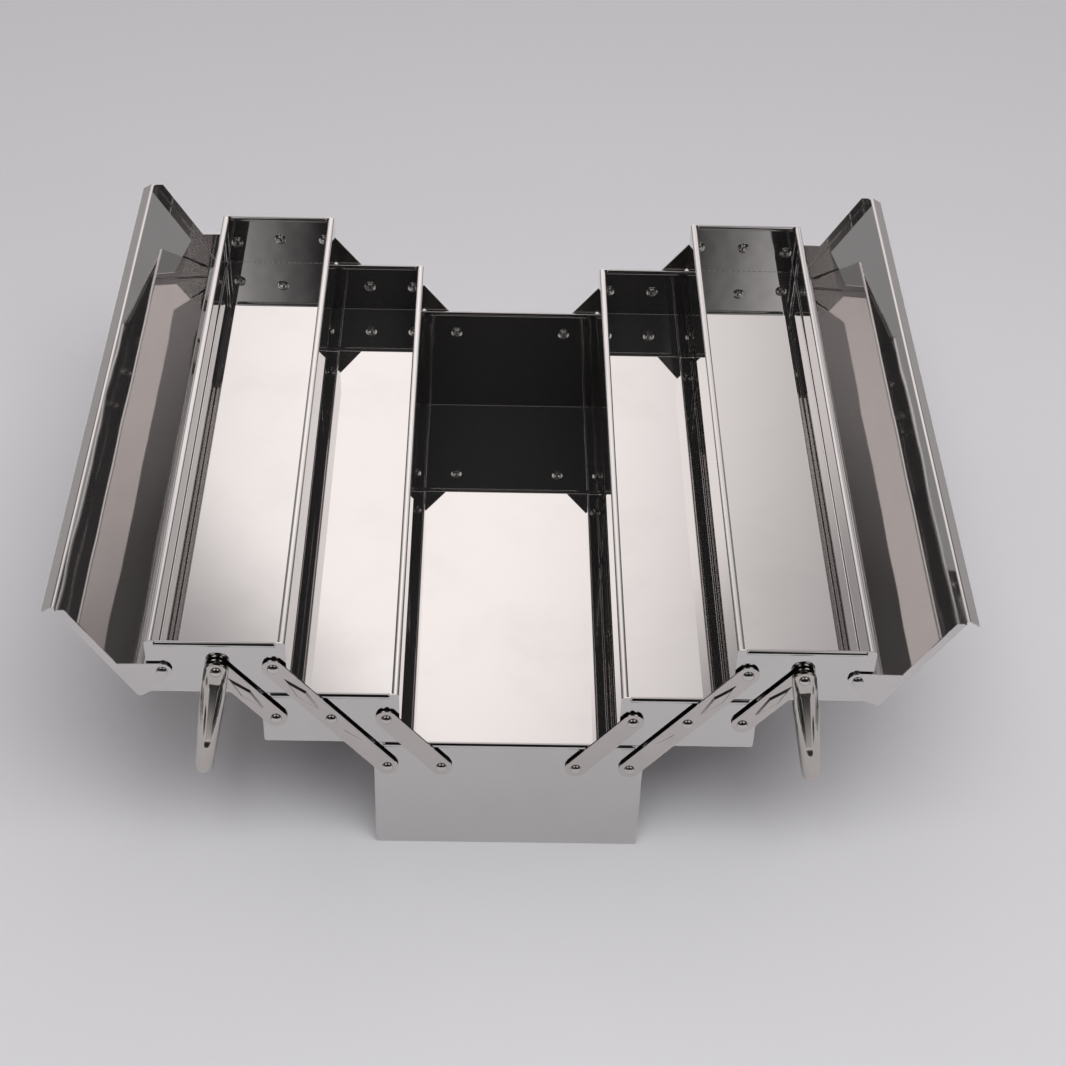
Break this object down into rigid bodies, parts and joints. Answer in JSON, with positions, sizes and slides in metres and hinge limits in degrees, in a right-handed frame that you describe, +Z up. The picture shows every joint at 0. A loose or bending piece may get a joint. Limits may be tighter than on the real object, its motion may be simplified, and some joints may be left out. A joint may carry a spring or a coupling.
{
  "type": "cantilever tool box",
  "caption": "Mirror-polished sheet steel cantilever tool box, open: a bottom box, trays that swing out in pairs on riveted links, hinged lids and tubular bail handles.",
  "frame": {"origin": "middle of the underside of the bottom box, on the surface it stands on", "axes": "+X from left to right across the trays, +Y from front to back along the boxes, +Z up"},
  "size_m": [0.6572, 0.5862, 0.2411],
  "materials": {
    "polished_sheet": "mirror-polished stainless sheet",
    "polished_ends": "mirror-polished stainless sheet with rolled top edge",
    "polished_lid": "mirror-polished stainless sheet",
    "link_steel": "satin pressed steel strip",
    "handle_tube": "satin steel tube with flattened ends",
    "rivet_steel": "domed rivet, lightly polished",
    "washer_steel": "plain steel washer"
  },
  "bodies": {
    "bottom_box": {"bottom_shell": "polished_sheet", "bottom_front_end": "polished_ends", "bottom_back_end": "polished_ends", "bottom_washers": "washer_steel", "bottom_rivets": "rivet_steel"},
    "left_mid_tray": {"left_mid_shell": "polished_sheet", "left_mid_front_end": "polished_ends", "left_mid_back_end": "polished_ends", "left_mid_washers": "washer_steel", "left_mid_rivets": "rivet_steel"},
    "left_top_tray": {"left_top_shell": "polished_sheet", "left_top_front_end": "polished_ends", "left_top_back_end": "polished_ends", "left_top_washers": "washer_steel", "left_top_rivets": "rivet_steel"},
    "left_long_links": {"left_long_link_front": "link_steel", "left_long_link_back": "link_steel"},
    "left_lower_links": {"left_lower_link_front": "link_steel", "left_lower_link_back": "link_steel"},
    "left_upper_links": {"left_upper_link_front": "link_steel", "left_upper_link_back": "link_steel", "left_handle_washers": "washer_steel"},
    "left_lid": {"left_lid": "polished_lid"},
    "left_handle": {"left_handle": "handle_tube"},
    "right_mid_tray": {"right_mid_shell": "polished_sheet", "right_mid_front_end": "polished_ends", "right_mid_back_end": "polished_ends", "right_mid_washers": "washer_steel", "right_mid_rivets": "rivet_steel"},
    "right_top_tray": {"right_top_shell": "polished_sheet", "right_top_front_end": "polished_ends", "right_top_back_end": "polished_ends", "right_top_washers": "washer_steel", "right_top_rivets": "rivet_steel"},
    "right_long_links": {"right_long_link_front": "link_steel", "right_long_link_back": "link_steel"},
    "right_lower_links": {"right_lower_link_front": "link_steel", "right_lower_link_back": "link_steel"},
    "right_upper_links": {"right_upper_link_front": "link_steel", "right_upper_link_back": "link_steel", "right_handle_washers": "washer_steel"},
    "right_lid": {"right_lid": "polished_lid"},
    "right_handle": {"right_handle": "handle_tube"}
  },
  "joints": [
    {"name": "left_fold", "type": "hinge", "parent": "bottom_box", "child": "left_long_links", "pos_m": [-0.09, 0, 0.0865], "axis": [0, 1, 0], "range_deg": [0, 77.4]},
    {"name": "left_mid_tray_pivot", "type": "hinge", "parent": "left_long_links", "child": "left_mid_tray", "pos_m": [-0.13, 0, 0.1364], "axis": [0, 1, 0], "range_deg": [-77.4, 0]},
    {"name": "left_top_tray_pivot", "type": "hinge", "parent": "left_long_links", "child": "left_top_tray", "pos_m": [-0.17, 0, 0.1863], "axis": [0, 1, 0], "range_deg": [-77.4, 0]},
    {"name": "left_lower_link_pivot", "type": "hinge", "parent": "bottom_box", "child": "left_lower_links", "pos_m": [-0.05, 0, 0.0865], "axis": [0, 1, 0], "range_deg": [0, 77.4]},
    {"name": "left_upper_link_pivot", "type": "hinge", "parent": "left_top_tray", "child": "left_upper_links", "pos_m": [-0.21, 0, 0.1863], "axis": [0, 1, 0], "range_deg": [0, 77.4]},
    {"name": "left_lid_hinge", "type": "hinge", "parent": "left_top_tray", "child": "left_lid", "pos_m": [-0.249, 0, 0.1822], "axis": [0, 1, 0], "range_deg": [0, 121.5]},
    {"name": "left_handle_hinge", "type": "hinge", "parent": "left_upper_links", "child": "left_handle", "pos_m": [-0.21, 0, 0.1863], "axis": [0, 1, 0], "range_deg": [-18, 86]},
    {"name": "right_fold", "type": "hinge", "parent": "bottom_box", "child": "right_long_links", "pos_m": [0.09, 0, 0.0865], "axis": [0, -1, 0], "range_deg": [0, 77.4]},
    {"name": "right_mid_tray_pivot", "type": "hinge", "parent": "right_long_links", "child": "right_mid_tray", "pos_m": [0.13, 0, 0.1364], "axis": [0, -1, 0], "range_deg": [-77.4, 0]},
    {"name": "right_top_tray_pivot", "type": "hinge", "parent": "right_long_links", "child": "right_top_tray", "pos_m": [0.17, 0, 0.1863], "axis": [0, -1, 0], "range_deg": [-77.4, 0]},
    {"name": "right_lower_link_pivot", "type": "hinge", "parent": "bottom_box", "child": "right_lower_links", "pos_m": [0.05, 0, 0.0865], "axis": [0, -1, 0], "range_deg": [0, 77.4]},
    {"name": "right_upper_link_pivot", "type": "hinge", "parent": "right_top_tray", "child": "right_upper_links", "pos_m": [0.21, 0, 0.1863], "axis": [0, -1, 0], "range_deg": [0, 77.4]},
    {"name": "right_lid_hinge", "type": "hinge", "parent": "right_top_tray", "child": "right_lid", "pos_m": [0.249, 0, 0.1822], "axis": [0, -1, 0], "range_deg": [0, 121.5]},
    {"name": "right_handle_hinge", "type": "hinge", "parent": "right_upper_links", "child": "right_handle", "pos_m": [0.21, 0, 0.1863], "axis": [0, -1, 0], "range_deg": [-18, 86]}
  ],
  "couplings": [
    {"joint": "left_mid_tray_pivot", "follows": "left_fold", "ratio": -1},
    {"joint": "left_top_tray_pivot", "follows": "left_fold", "ratio": -1},
    {"joint": "left_lower_link_pivot", "follows": "left_fold", "ratio": 1},
    {"joint": "left_upper_link_pivot", "follows": "left_fold", "ratio": 1},
    {"joint": "right_mid_tray_pivot", "follows": "right_fold", "ratio": -1},
    {"joint": "right_top_tray_pivot", "follows": "right_fold", "ratio": -1},
    {"joint": "right_lower_link_pivot", "follows": "right_fold", "ratio": 1},
    {"joint": "right_upper_link_pivot", "follows": "right_fold", "ratio": 1}
  ]
}
